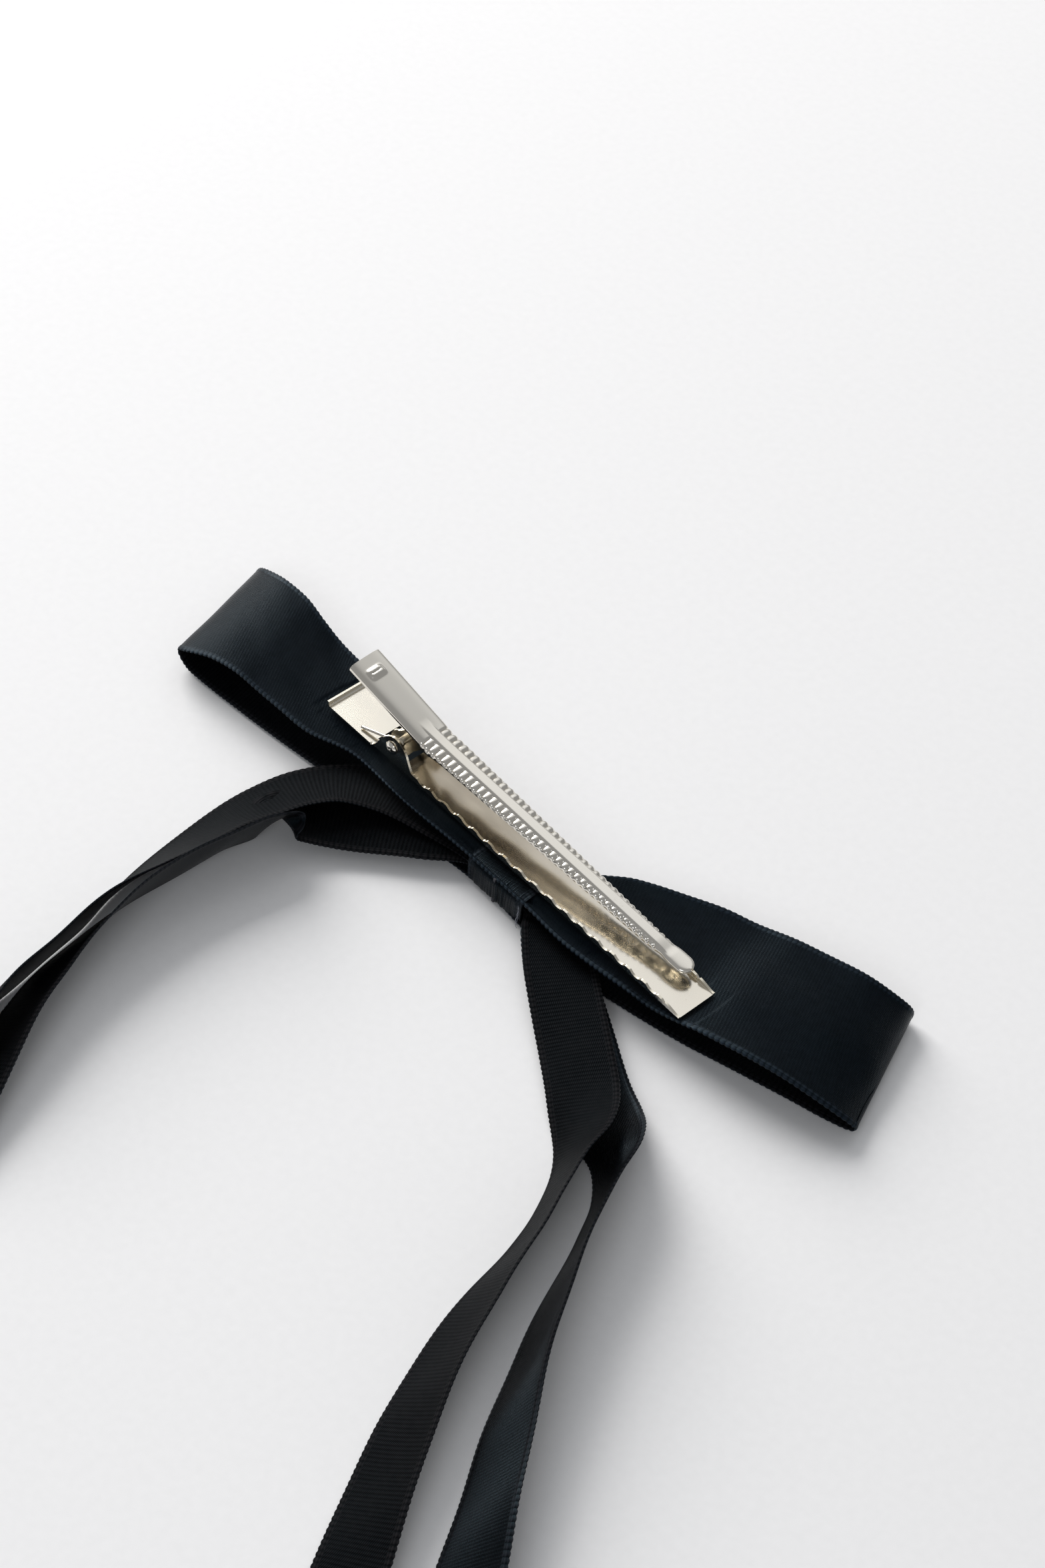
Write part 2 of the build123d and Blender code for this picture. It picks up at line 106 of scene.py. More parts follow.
def shell(middle, thickness, uv=None, keep=None, closed=False):
    """Closed sheet about a middle surface: points at middle +- normal * thickness / 2. A closed grid is
    a band whose last row joins its first, as a wrap or a plate round a hole does.

    Returns points, quads, the uv of each point and the side of each quad: 0 on the normal's side, 1 on
    the other, 2 on the rim."""
    rows, columns = middle.shape[:2]
    half = normals_of(middle, closed) * np.broadcast_to(thickness, (rows, columns))[..., None] / 2
    points = np.concatenate([(middle + half).reshape(-1, 3), (middle - half).reshape(-1, 3)])
    index = np.arange(rows * columns).reshape(rows, columns)
    if closed:
        index = np.concatenate([index, index[:1]])
    quads = np.stack([index[:-1, :-1], index[1:, :-1], index[1:, 1:], index[:-1, 1:]], axis=-1)
    quads = quads.reshape(-1, 4) if keep is None else quads[keep]
    edges = np.concatenate([quads[:, [k, (k + 1) % 4]] for k in range(4)])
    size = rows * columns
    forward, backward = edges[:, 0] * size + edges[:, 1], edges[:, 1] * size + edges[:, 0]
    rim = edges[~np.isin(forward, backward)]
    rim_quads = np.stack([rim[:, 1], rim[:, 0], rim[:, 0] + size, rim[:, 1] + size], axis=1)
    faces = np.concatenate([quads, quads[:, ::-1] + size, rim_quads])
    side = np.repeat([0, 1, 2], [len(quads), len(quads), len(rim_quads)])
    if uv is None:
        uv = np.zeros((rows, columns, 2))
    return points, faces, np.tile(uv.reshape(-1, 2), (2, 1)), side


def add_piece(name, shells, materials, corner=50):
    """One mesh object from several shells in millimetres; side k of a shell takes material k."""
    points, faces, uvs, sides, start = [], [], [], [], 0
    for shell_points, shell_faces, shell_uv, shell_side in shells:
        points.append(shell_points)
        faces.append(shell_faces + start)
        uvs.append(shell_uv)
        sides.append(shell_side)
        start += len(shell_points)
    faces, sides = np.concatenate(faces), np.concatenate(sides)
    used, place = np.unique(faces, return_inverse=True)
    faces = place.reshape(faces.shape)
    points, uvs = np.concatenate(points)[used] * mm, np.concatenate(uvs)[used]
    mesh = bpy.data.meshes.new(name)
    mesh.from_pydata(points.tolist(), [], faces.tolist())
    layer = mesh.uv_layers.new(name="along")
    layer.data.foreach_set("uv", uvs[faces.ravel()].astype(np.float32).ravel())
    for material in materials:
        mesh.materials.append(material)
    mesh.polygons.foreach_set("material_index", np.minimum(sides, len(materials) - 1).astype(np.int32))
    mesh.shade_smooth()
    mesh.set_sharp_from_angle(angle=np.radians(corner))
    mesh.validate()
    piece = bpy.data.objects.new(name, mesh)
    bpy.context.scene.collection.objects.link(piece)
    print(name, len(mesh.polygons), "faces")
    return piece


def ring_faces(rows, columns):
    """Faces of a skin of closed rings: quads from ring to ring, and a fan of quads over each end."""
    index = np.arange(rows * columns).reshape(rows, columns)
    after = np.roll(index, -1, axis=1)
    quads = np.stack([index[:-1], after[:-1], after[1:], index[1:]], axis=-1).reshape(-1, 4)
    ends = np.stack([index[0, ::-1], index[-1]])
    fans = [ends[:, [0, k, k + 1, k + 2]] for k in range(1, columns - 2, 2)]
    return np.concatenate([quads, *fans])


def tube(path, radius, around=12):
    """Round wire: at each point of the path a circle square to it, radius * (N cos a + B sin a).

    N is the part of +Y square to the path and B is square to both; the ends close on a small dome."""
    ahead = np.gradient(path, axis=0)
    ahead /= np.linalg.norm(ahead, axis=1, keepdims=True)
    side = np.array([0, 1, 0]) - ahead * ahead[:, 1:2]
    side /= np.linalg.norm(side, axis=1, keepdims=True)
    up = np.cross(ahead, side)
    reach = np.full(len(path), float(radius))
    first, last = path[:1] - ahead[:1] * radius * 0.5, path[-1:] + ahead[-1:] * radius * 0.5
    path = np.concatenate([first, path, last])
    side, up = np.concatenate([side[:1], side, side[-1:]]), np.concatenate([up[:1], up, up[-1:]])
    reach = np.concatenate([[radius * 0.05], reach, [radius * 0.05]])
    angle = np.linspace(0, 2 * np.pi, around, endpoint=False)
    ring = side[:, None] * np.cos(angle)[None, :, None] + up[:, None] * np.sin(angle)[None, :, None]
    points = (path[:, None] + ring * reach[:, None, None]).reshape(-1, 3)
    uv = np.stack(np.meshgrid(np.arange(len(path)) * 0.1, angle, indexing="ij"), axis=-1).reshape(-1, 2)
    faces = ring_faces(len(path), around)
    return points, faces, uv, np.zeros(len(faces), int)


def curve_through(stations, count):
    """Catmull-Rom curve: between two stations each value is the cubic whose slope at a station is half
    the step from the station before it to the one after. count points, evenly spaced in the table."""
    stations = np.asarray(stations, float)
    slopes = np.gradient(stations, axis=0)
    place = np.linspace(0, len(stations) - 1, count)
    k = np.minimum(place.astype(int), len(stations) - 2)
    t = (place - k)[:, None]
    a, b, da, db = stations[k], stations[k + 1], slopes[k], slopes[k + 1]
    return (
        a * (2 * t**3 - 3 * t**2 + 1) + da * (t**3 - 2 * t**2 + t)
        + b * (3 * t**2 - 2 * t**3) + db * (t**3 - t**2)
    )


def length_along(points):
    """Distance along a line of points, starting at 0."""
    steps = np.linalg.norm(np.diff(points, axis=0), axis=1)
    return np.concatenate([[0], np.cumsum(steps)])


# %% [markdown]
# ## Materials
# Inside the channel a dark brown painted shade is added as well.
# Bright nickel shows its surroundings more than its own colour, so its detail is in what disturbs the
# reflection: a soft waviness left by the press, fine scratches along the clip, and a few brown stains.
# All of it is read from Object coordinates, so that it stays on the part when the jaw opens.


# %% Node helpers
class Shading:
    """A material under construction: add() makes a node, joins its inputs and returns it."""

    def __init__(self, name):
        self.material = bpy.data.materials.new(name)
        self.material.use_nodes = True
        self.tree = self.material.node_tree
        self.shader = self.tree.nodes["Principled BSDF"]

    def put(self, socket, value):
        """Joins a node's output to the socket, or sets a plain value on it."""
        if isinstance(value, bpy.types.NodeSocket):
            self.tree.links.new(value, socket)
        else:
            socket.default_value = value

    def add(self, kind, settings=(), **inputs):
        node = self.tree.nodes.new("ShaderNode" + kind)
        for key, value in dict(settings).items():
            setattr(node, key, value)
        for key, value in inputs.items():
            name = key.replace("_", " ")
            self.put(node.inputs[int(key[1:]) if key[0] == "i" and key[1:].isdigit() else name], value)
        return node.outputs

    def math(self, operation, a, b=0.0, c=0.0):
        return self.add("Math", {"operation": operation}, i0=a, i1=b, i2=c)["Value"]

    def blend(self, share, a, b):
        """Colour a where share is 0 and colour b where it is 1."""
        node = self.tree.nodes.new("ShaderNodeMix")
        node.data_type = "RGBA"
        self.put(node.inputs["Factor"], share)
        self.put(node.inputs[6], a)
        self.put(node.inputs[7], b)
        return node.outputs[2]

    def ramp(self, value, low, high):
        """value from low to high, stretched to 0 to 1 and clipped."""
        return self.add("MapRange", i0=value, i1=low, i2=high)["Result"]

    def noise(self, vector, scale, detail=3.0, stretch=(1, 1, 1)):
        moved = self.add("Mapping", Vector=vector, Scale=stretch)["Vector"]
        return self.add("TexNoise", Vector=moved, Scale=scale, Detail=detail)["Fac"]

    def bump(self, height, distance, strength=1.0):
        normal = self.add("Bump", Height=height, Distance=distance, Strength=strength)["Normal"]
        self.put(self.shader.inputs["Normal"], normal)

    def set(self, **values):
        for key, value in values.items():
            self.put(self.shader.inputs[key.replace("_", " ")], value)
        return self.material


def rgb(red, green, blue):
    return (red, green, blue, 1.0)


# %% Nickel plate
def nickel(name, tone, stain_share, grain, shade_span=None):
    """Bright plate: waviness + grain in the bump, stains in the colour, smears in the roughness. shade_span
    is three places along the clip, in metres, for a painted dark brown shade: where it begins, starts to
    fade and ends."""
    look = Shading(name)
    where = look.add("TexCoord")["Object"]
    smear = look.noise(where, 160.0, 3.0, (0.35, 1, 1))
    stain = look.ramp(look.noise(where, 420.0, 4.0), 0.70 - stain_share, 0.84)
    speck = look.ramp(look.noise(where, 2600.0, 2.0), 0.76, 0.82)
    mark = look.math("MAXIMUM", look.math("MULTIPLY", stain, 0.35), look.math("MULTIPLY", speck, 0.7))
    colour = look.blend(smear, rgb(*tone), rgb(tone[0] * 0.93, tone[1] * 0.91, tone[2] * 0.86))
    colour = look.blend(mark, colour, rgb(0.30, 0.20, 0.11))
    # Painted shade: along the channel the inside faces are made dark brown for the shaded jaw they reflect;
    # dull is this painted shade's share, and its brown varies with the smear.
    if shade_span:
        along = look.add("SeparateXYZ", Vector=where)["X"]
        start, fading, end = shade_span
        begins = look.ramp(along, start - 0.0004, start + 0.0004)
        fades = look.ramp(along, end, fading)
        dull = look.math("MULTIPLY", look.math("MULTIPLY", begins, fades), 0.85)
        painted_shade_colour = look.blend(look.ramp(smear, 0.35, 0.65), rgb(0.24, 0.20, 0.15), rgb(0.42, 0.37, 0.29))
        colour = look.blend(dull, colour, painted_shade_colour)
    scratch = look.noise(where, 1500.0, 2.0, (0.06, 1, 1))
    wave = look.noise(where, 130.0, 1.0, (0.4, 1, 1))
    height = look.math("MULTIPLY_ADD", scratch, grain * 0.12, wave)
    look.bump(height, 0.00005, 0.35)
    rough = look.math("MULTIPLY_ADD", smear, 0.14, 0.10)
    rough = look.math("MULTIPLY_ADD", mark, 0.35, rough)
    return look.set(Base_Color=colour, Metallic=1.0, Roughness=rough)


plate = nickel("nickel_plate", (0.86, 0.83, 0.77), 0.02, 0.35)
# Painted shade on the inside faces along the channel: where it begins, starts to fade and ends.
CHANNEL_SHADE = [(CLIP_BACK + along) * mm for along in (16.6, 34.0, 62.0)]
plate_inside = nickel("nickel_inside", (0.84, 0.80, 0.72), 0.03, 0.5, CHANNEL_SHADE)
cut_edge = nickel("nickel_cut_edge", (0.93, 0.88, 0.76), 0.0, 0.8)
rivet = nickel("rivet_steel", (0.92, 0.89, 0.82), 0.02, 1.2)
spring_steel = nickel("spring_steel", (0.74, 0.71, 0.66), 0.03, 0.8)
print("metals", plate.name, plate_inside.name, cut_edge.name, rivet.name, spring_steel.name)


# %% [markdown]
# Satin is a weave with long threads lying on one face only. That face mirrors light in a soft band
# across the threads, and the other face is dull and shows the weave as rows of small dots. Both edges
# of the ribbon end in a selvedge, where the cross threads turn back round in a row of tight beads. The
# uv map of each ribbon holds millimetres, across first and then along, so the pattern keeps its size.

# %% Satin and its dull back
BEAD, BEAD_HEIGHT = 0.85, 0.15


def satin(name, deep, shine, half_width, dull):
    """Ribbon cloth: threads sin(2 pi across / pitch), picks along, and beads near the two edges."""
    look = Shading(name)
    split = look.add("SeparateXYZ", Vector=look.add("TexCoord")["UV"])
    across, along = split["X"], split["Y"]
    thread_pitch, pick_pitch = (0.58, 0.62) if dull else (0.22, 0.5)
    thread = look.math("SINE", look.math("MULTIPLY", across, 2 * np.pi / thread_pitch))
    slant = look.math("MULTIPLY_ADD", across, 1.0 if dull else 0.25, along)
    pick = look.math("SINE", look.math("MULTIPLY", slant, 2 * np.pi / pick_pitch))
    weave = look.math("MULTIPLY", thread, pick) if dull else look.math("MULTIPLY_ADD", pick, 0.25, thread)
    edge = look.math("ABSOLUTE", across)
    selvedge = look.ramp(edge, half_width - 0.95, half_width - 0.75)
    bead = look.math("ABSOLUTE", look.math("SINE", look.math("MULTIPLY", along, np.pi / BEAD)))
    line = look.math("SINE", look.math("MULTIPLY", edge, 2 * np.pi / 0.45))
    bead = look.math("MULTIPLY_ADD", line, 0.35, bead)
    height = look.add("Mix", {"data_type": "FLOAT"}, Factor=selvedge, A=weave, B=bead)["Result"]
    look.bump(height, 0.00005 if dull else 0.00003, 0.8)
    lint = look.noise(look.add("TexCoord")["Object"], 900.0, 4.0)
    cloth = look.blend(look.ramp(lint, 0.35, 0.75), rgb(*deep), rgb(*shine))
    # Painted highlight: the tops of the weave get a lighter colour, so that the dots look lit.
    lift = look.ramp(weave, 0.2, 1.2)
    painted_dot_highlight = rgb(*(2.2 * c for c in shine))
    cloth = look.blend(look.math("MULTIPLY", lift, 1.0 if dull else 0.5), cloth, painted_dot_highlight)
    # Painted highlight: the tops of the selvedge beads get a lighter colour still.
    painted_bead_highlight = look.math("MULTIPLY", selvedge, look.ramp(bead, 0.35, 1.1))
    cloth = look.blend(painted_bead_highlight, cloth, rgb(*(3.5 * c for c in shine)))
    rough = look.math("MULTIPLY_ADD", selvedge, 0.12, 0.55 if dull else 0.31)
    look.shader.inputs["Sheen Weight"].default_value = 0.002 if dull else 0.006
    look.shader.inputs["Sheen Roughness"].default_value = 0.35
    look.shader.inputs["Sheen Tint"].default_value = rgb(0.30, 0.38, 0.52)
    look.shader.inputs["Specular IOR Level"].default_value = 0.04 if dull else 0.12
    look.shader.inputs["Specular Tint"].default_value = rgb(0.45, 0.78, 1.0)
    look.shader.inputs["Anisotropic"].default_value = 0.0 if dull else 0.6
    return look.set(Base_Color=cloth, Roughness=rough)


LOOP_HALF, TAIL_HALF, WRAP_HALF = 11.0, 5.0, 5.5
loop_face = satin("loop_satin", (0.0010, 0.0014, 0.0022), (0.0030, 0.0042, 0.0062), LOOP_HALF, False)
loop_back = satin("loop_dull_back", (0.0012, 0.0012, 0.0015), (0.0042, 0.0042, 0.0050), LOOP_HALF, True)
tail_face = satin("tail_satin", (0.0012, 0.0012, 0.0015), (0.0036, 0.0036, 0.0044), TAIL_HALF, False)
tail_back = satin("tail_dull_back", (0.0012, 0.0010, 0.0011), (0.0036, 0.0032, 0.0034), TAIL_HALF, True)
wrap_face = satin("wrap_satin", (0.0014, 0.0016, 0.0022), (0.0050, 0.0056, 0.0070), WRAP_HALF, False)
print("cloths", loop_face.name, tail_face.name, wrap_face.name)

# %% [markdown]
# ## The lower jaw
# The press folds one strip into a shallow channel. Its side walls rise to rounded ears at the pin and
# are nipped into scallops further on, the lever end is flat, and a small lip is rolled up at its very
# end. It could be cut from a box, but a bent sheet is one surface: a section that folds up at its two
# sides, carried along the strip, with the wall's height given as a function of the place along it.

# %% Wall height along the lower jaw
EAR = [(10.2, 0.42), (11.0, 1.3), (12.1, 3.3), (13.2, 4.7), (14.6, 5.58), (15.8, 5.55), (16.9, 4.9),
       (17.6, 3.9), (18.2, 2.6), (18.9, 1.5), (19.8, 1.4)]
WALL, TIP_WALL, SMOOTH_TIP = 1.4, 1.1, 3.0
SCALLOP_PITCH, SCALLOP_R, SCALLOP_DEPTH = 3.2, 1.5, 0.5
WINDOW_START, WINDOW_END, WINDOW_HALF = 9.9, 16.1, 2.1


def wall_height(x):
    """Height of the wall's top edge over the strip's underside, x from the lever's end: the ear's
    curve, then the plain wall less a circular bite every pitch, then a fall to the tip."""
    ear = curve_through(EAR, 120)
    length = CLIP_TIP - CLIP_BACK
    first = EAR[-1][0] + SCALLOP_PITCH / 2
    offset = (x - first + SCALLOP_PITCH / 2) % SCALLOP_PITCH - SCALLOP_PITCH / 2
    bite = np.sqrt(np.maximum(SCALLOP_R**2 - offset**2, 0)) - (SCALLOP_R - SCALLOP_DEPTH)
    bitten = (x > EAR[-1][0]) & (x < length - SMOOTH_TIP)
    wall = WALL - np.where(bitten, np.maximum(bite, 0), 0)
    wall -= (WALL - TIP_WALL) * smooth_step(x, length - 6, length - SMOOTH_TIP)
    wall -= (TIP_WALL - 0.45) * smooth_step(x, length - SMOOTH_TIP, length)
    return np.where(x < EAR[-1][0], np.interp(x, ear[:, 0], ear[:, 1]), wall)


print("wall at the ear", wall_height(np.array([15.0])).round(2), "mm")


# %% Lower jaw surface
def lower_jaw_middle():
    """Middle surface of the bent strip. The place along it is a small arc for the lip and then a
    straight line; across it, each half is the flat floor, an arc of radius bend and the wall."""
    bend, lip_bend, lip_top = 0.25, 0.42, 1.15
    lip_angle = np.radians(np.linspace(88, 8, 9))
    lip_x = STEEL / 2 + lip_bend * (1 - np.sin(lip_angle))
    lip_z = STEEL / 2 + lip_bend * (1 - np.cos(lip_angle))
    x = np.concatenate([[STEEL / 2], lip_x, np.arange(0.7, CLIP_TIP - CLIP_BACK + 0.01, 0.2)])
    z = np.concatenate([[lip_top], lip_z, np.full(len(x) - 1 - len(lip_z), STEEL / 2)])
    x, z = x[:, None], z[:, None]
    fold = np.radians(90) * smooth_step(x, 9.7, 10.3)
    floor = np.array([0, 0.5, 1.0, 1.5, 2.1, 2.5, 2.8, CLIP_HALF - STEEL / 2 - bend])[None, :]
    arc = np.full((1, 5), bend * np.pi / 2 / 5)
    wall = np.maximum(wall_height(x) - STEEL / 2 - bend, 0.06) / 9 * np.ones((1, 9))
    angle = np.concatenate([fold * (np.arange(5) + 0.5) / 5, fold * np.ones((1, 9))], axis=1)
    step = np.concatenate([arc * np.ones_like(x), wall], axis=1)
    y_side = floor[:, -1:] + np.cumsum(np.cos(angle) * step, axis=1)
    z_side = np.cumsum(np.sin(angle) * step, axis=1)
    y = np.concatenate([floor * np.ones_like(x), y_side], axis=1)
    up = np.concatenate([np.zeros_like(x) * floor, z_side], axis=1)
    y, up = np.concatenate([-y[:, :0:-1], y], axis=1), np.concatenate([up[:, :0:-1], up], axis=1)
    dent = 0.02 * np.sin(x * 0.9) * np.exp(-((y / 2) ** 2))
    return np.stack([CLIP_BACK + x + 0 * y, y, CLIP_UNDER + z + up + dent * (x > 18)], axis=-1)


middle = lower_jaw_middle()
cell = (middle[:-1, :-1] + middle[1:, 1:]) / 2
in_window = (cell[..., 0] > CLIP_BACK + WINDOW_START) & (cell[..., 0] < CLIP_BACK + WINDOW_END)
in_window &= (np.abs(cell[..., 1]) < WINDOW_HALF) & (cell[..., 2] < CLIP_UNDER + 0.5)
lower_shell = shell(middle, STEEL, keep=~in_window)
lower_jaw = add_piece("lower_jaw_sheet", [lower_shell], [plate_inside, plate, cut_edge])
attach(lower_jaw, "base")
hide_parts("lower_jaw")


# %% [markdown]
# A cut edge on pressed steel is never a knife edge: tumbling rounds it, and the plating pools on it.
# A narrow Bevel gives it the thin bright line that tells the eye how thick the sheet is.

# %% Rounded cut edges
def round_edges(piece, width, corner=50):
    bevel = piece.modifiers.new("rounded_edges", "BEVEL")
    bevel.width = width * mm
    bevel.segments = 2
    bevel.limit_method = "ANGLE"
    bevel.angle_limit = np.radians(corner)


round_edges(lower_jaw, 0.07)

# %% [markdown]
# ## The upper jaw
# The same strip, folded down at both sides: a lever that slopes down to a crest, and a jaw that slopes
# on to a smooth tongue. A raised rib runs along its middle with rows of cross ribs each side, which
# grip the hair and stiffen the steel. They are pressed shapes, so they are made as one height added
# along the normal of the channel, and the ears are separate plates that rise from the pin to the crest.

# %% Upper jaw outline along its length
SKEW = np.radians(2.5)
LEVER, CREST, TONGUE = (-10.2, 8.7), (5.3, 4.4), (56.5, -0.6)
RIB_START, RIB_END, RIB_PITCH = 4.9, 51.0, 1.2
EAR_SIDE = 1.575


def top_line(u):
    """Height of the strip's top over the pin: the higher of the lever's line and the jaw's line, with
    their corner rounded as (a + b) / 2 + sqrt(((a - b) / 2)^2 + c^2)."""
    a = CREST[1] + (LEVER[1] - CREST[1]) * (CREST[0] - u) / (CREST[0] - LEVER[0])
    b = CREST[1] + (TONGUE[1] - CREST[1]) * (u - CREST[0]) / (TONGUE[0] - CREST[0])
    return (a + b) / 2 + np.sqrt(((a - b) / 2) ** 2 + 0.12**2)


def half_width(u):
    """Half the outside width: nearly even on the lever, tapering to the neck, then a round tongue."""
    taper = 2.75 - 1.35 * np.clip((u - CREST[0]) / (51.5 - CREST[0]), 0, 1)
    lever = 2.9 - 0.15 * smooth_step(u, LEVER[0], CREST[0])
    body = np.where(u < CREST[0], lever, taper)
    tongue = body - 0.12 * np.exp(-(((u - 51.8) / 0.9) ** 2)) + 0.08 * smooth_step(u, 52, 54)
    cap = np.clip((u - (TONGUE[0] - 1.5)) / 1.5, 0, 0.985)
    return tongue * np.sqrt(1 - cap**2)


def to_row(u, v, w):
    """From the upper jaw's own axes to the row's: a turn by SKEW about Z, then a step to the pin."""
    x = PIVOT[0] + u * np.cos(SKEW) - v * np.sin(SKEW)
    y = PIVOT[1] + u * np.sin(SKEW) + v * np.cos(SKEW)
    return np.stack(np.broadcast_arrays(x, y, PIVOT[2] + w), axis=-1)


print("upper jaw", round(TONGUE[0] - LEVER[0], 1), "mm long")


# %% Upper jaw surface
def upper_jaw_middle():
    """Middle surface: at each u a section |y/b|^4 + |drop/f|^4 = 1 of half width b and flange f, and on
    it the ribs, the rib pattern times how far the point is from the middle rib."""
    fine = np.arange(LEVER[0], -5.6, 0.09)
    u = np.concatenate([fine, np.arange(fine[-1] + 0.15, TONGUE[0] + 0.001, 0.15)])[:, None]
    turn = np.linspace(-np.pi / 2, np.pi / 2, 721)
    shape_v = np.sign(turn) * np.abs(np.sin(turn)) ** 0.5
    shape_drop = 1 - np.abs(np.cos(turn)) ** 0.5
    run = length_along(np.stack([shape_v * 2.6, shape_drop * 0.8], axis=1))
    even = np.linspace(0, run[-1], 53)
    shape_v = np.interp(even, run, shape_v)[None, :]
    shape_drop = np.interp(even, run, shape_drop)[None, :]
    b = half_width(u) - STEEL / 2
    flange = 0.85 + 0.45 * np.exp(-(((u - 6.0) / 1.6) ** 2)) - 0.35 * smooth_step(u, 48, 56)
    v, drop = b * shape_v, (flange - STEEL / 2) * shape_drop
    grid = to_row(u, v, top_line(u) - STEEL / 2 - drop)
    out = np.abs(shape_v) * b
    ridge = 0.20 * (1 - smooth_step(out, 0.62, 0.86)) * smooth_step(u, 2.0, 6.0)
    ridge = ridge * (1 - smooth_step(u, 50, 53))
    phase = (u - RIB_START) / RIB_PITCH
    groove = np.cos(np.pi * phase) ** 4
    ribbed = smooth_step(u, RIB_START - 0.2, RIB_START + 0.2) * (1 - smooth_step(u, RIB_END - 0.4, RIB_END))
    beyond = smooth_step(out, 0.80, 1.15) * (1 - smooth_step(shape_drop, 0.45, 0.9))
    pillow = 0.10 * smooth_step(u, 52, 53.5) * (1 - (out / 1.6) ** 2)
    stop = 0.40 * np.exp(-(((u + 7.4) / 0.75) ** 4) - (((v + 0.2) / 1.2) ** 6))
    press = 0.22 * np.exp(-(((u + 7.45) / 0.17) ** 2) - (((v + 0.3) / 0.85) ** 6))
    height = ridge - 0.27 * groove * ribbed * beyond + pillow * (u > 51) + stop - press
    return grid + normals_of(grid) * height[..., None]


def upper_ear(v_side):
    """Plate about the pin: rings from the pin's hole out to a round eye, which a leaning neck joins to
    the sheet above it. The neck stops at the line w + roof_slope * u = roof_height."""
    hole_r, eye_r, neck_half, neck_lean = 0.7, 2.1, 1.75, np.radians(47)
    roof_height, roof_slope = 5.45, 0.277
    angle = np.linspace(0, 2 * np.pi, 96, endpoint=False)[:, None]
    lean = angle - neck_lean
    neck = neck_half / np.maximum(np.abs(np.sin(lean)), 0.05)
    rise = np.maximum(np.sin(angle) + roof_slope * np.cos(angle), 0.2)
    roof = np.where(np.cos(lean) > 0.1, roof_height / rise, 0)
    reach = np.maximum(eye_r, np.minimum(neck, roof))
    share = np.linspace(0, 1, 7)[None, :]
    radius = hole_r + (reach - hole_r) * share
    return to_row(radius * np.cos(angle), v_side, radius * np.sin(angle))


upper_sheet = upper_jaw_middle()
shells = [shell(upper_sheet, STEEL)]
for v_side in (-EAR_SIDE, EAR_SIDE):
    shells.append(shell(upper_ear(v_side), STEEL, closed=True))
upper_jaw = add_piece("upper_jaw_sheet", shells, [plate, plate_inside, cut_edge])
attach(upper_jaw, "jaw")
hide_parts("upper_jaw")
round_edges(upper_jaw, 0.08)

# %% [markdown]
# ## The rivet and the spring
# The rivet's ends are hammered over, so each head is a low dome with small flats left by the hammer.
# The spring is one wire: a leg on the lower lever, close turns round the pin, and a leg that pushes up
# under the upper lever. A helix is drawn with its own formula, because a stack of rings has no lead in.

# %% Rivet
def rivet_surface():
    """A profile turned about the pin: dome, shank and dome. Uneven hammering adds a small ripple."""
    dome = np.linspace(0.02, 1, 9)
    head_r, head_h, end = 1.08, 0.6, (pin_high[1] - pin_low[1]) / 2 - 0.55
    radius = np.concatenate([dome * head_r, [0.95, 0.65, 0.65, 0.95], dome[::-1] * head_r])
    rise = head_h * np.sqrt(np.maximum(1 - dome**2 * 0.96, 0))
    place = np.concatenate([-end - rise, [-end, -end, end, end], end + rise[::-1]])
    angle = np.linspace(2 * np.pi, 0, 49)[None, :]
    radius, place = radius[:, None], place[:, None]
    hammer = 0.05 * np.sin(3 * angle + 1) * np.sin(radius * 5) + 0.03 * np.sin(5 * angle) * radius
    on_head = np.abs(place) > end + 0.05
    place = place - np.sign(place) * on_head * np.abs(hammer)
    x, z = PIVOT[0] + radius * np.cos(angle), PIVOT[2] + radius * np.sin(angle)
    return np.stack(np.broadcast_arrays(x, PIVOT[1] + place, z), axis=-1)


def closed_turning(surface):
    """Turned surface as one closed skin, without its last column, which repeats the first."""
    points = surface[:, :-1].reshape(-1, 3)
    faces = ring_faces(surface.shape[0], surface.shape[1] - 1)
    return points, faces, np.zeros((len(points), 2)), np.zeros(len(faces), int)


pin = add_piece("rivet_pin", [closed_turning(rivet_surface())], [rivet], corner=60)
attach(pin, "base")
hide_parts("pivot_pin")


# %% Spring
def spring_path():
    """Leg, helix and leg. The helix is (r cos a, pitch a / 2 pi, r sin a) about the pin."""
    r, wire = 1.45, 0.5
    turns = np.linspace(np.radians(-90), np.radians(-90 - 360 * 4 - 110), 240)
    place = np.linspace(-1.0, 1.0, 240)
    helix = np.stack([r * np.cos(turns), place, r * np.sin(turns)], axis=1)
    seat = STEEL + wire / 2 + 0.05 - (PIVOT[2] - CLIP_UNDER)
    t = np.linspace(0, 1, 24)[:, None]
    low = (1 - t) * np.array([-7.7, -2.6, seat]) + t * np.array([-0.9, -1.05, -1.5])
    low[:, 2] += 0.1 * np.sin(np.pi * t[:, 0])
    start = helix[-1] + np.array([-0.35, 0.02, 0.5])
    high = (1 - t) * start + t * np.array([-6.9, 1.15, 6.85])
    return np.concatenate([low, helix, high]) + PIVOT


spring = add_piece("spring_wire", [tube(spring_path(), 0.25)], [spring_steel], corner=80)
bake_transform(spring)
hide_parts("torsion_spring")

# %% [markdown]
# ## The bow's loops
# One wide ribbon goes round from the knot to the left, folds back over the table, crosses the back of
# the knot to the right, and folds back again. It could be draped by simulation, but the ribbon is stiff
# and held by its knot, so its two edges are drawn as curves through a few stations and the cloth is the
# surface between them. Near the knot the cloth is gathered, so pleats grow there as a wave across it.

# %% Loop stations
KNOT_LOW, KNOT_HIGH = wrap_low[1] + 0.55, wrap_high[1] - 0.55
# heights of the cloth's middle: the bow's front, on the table, and its back, under the clip
FRONT, BACK = 0.55, 5.05
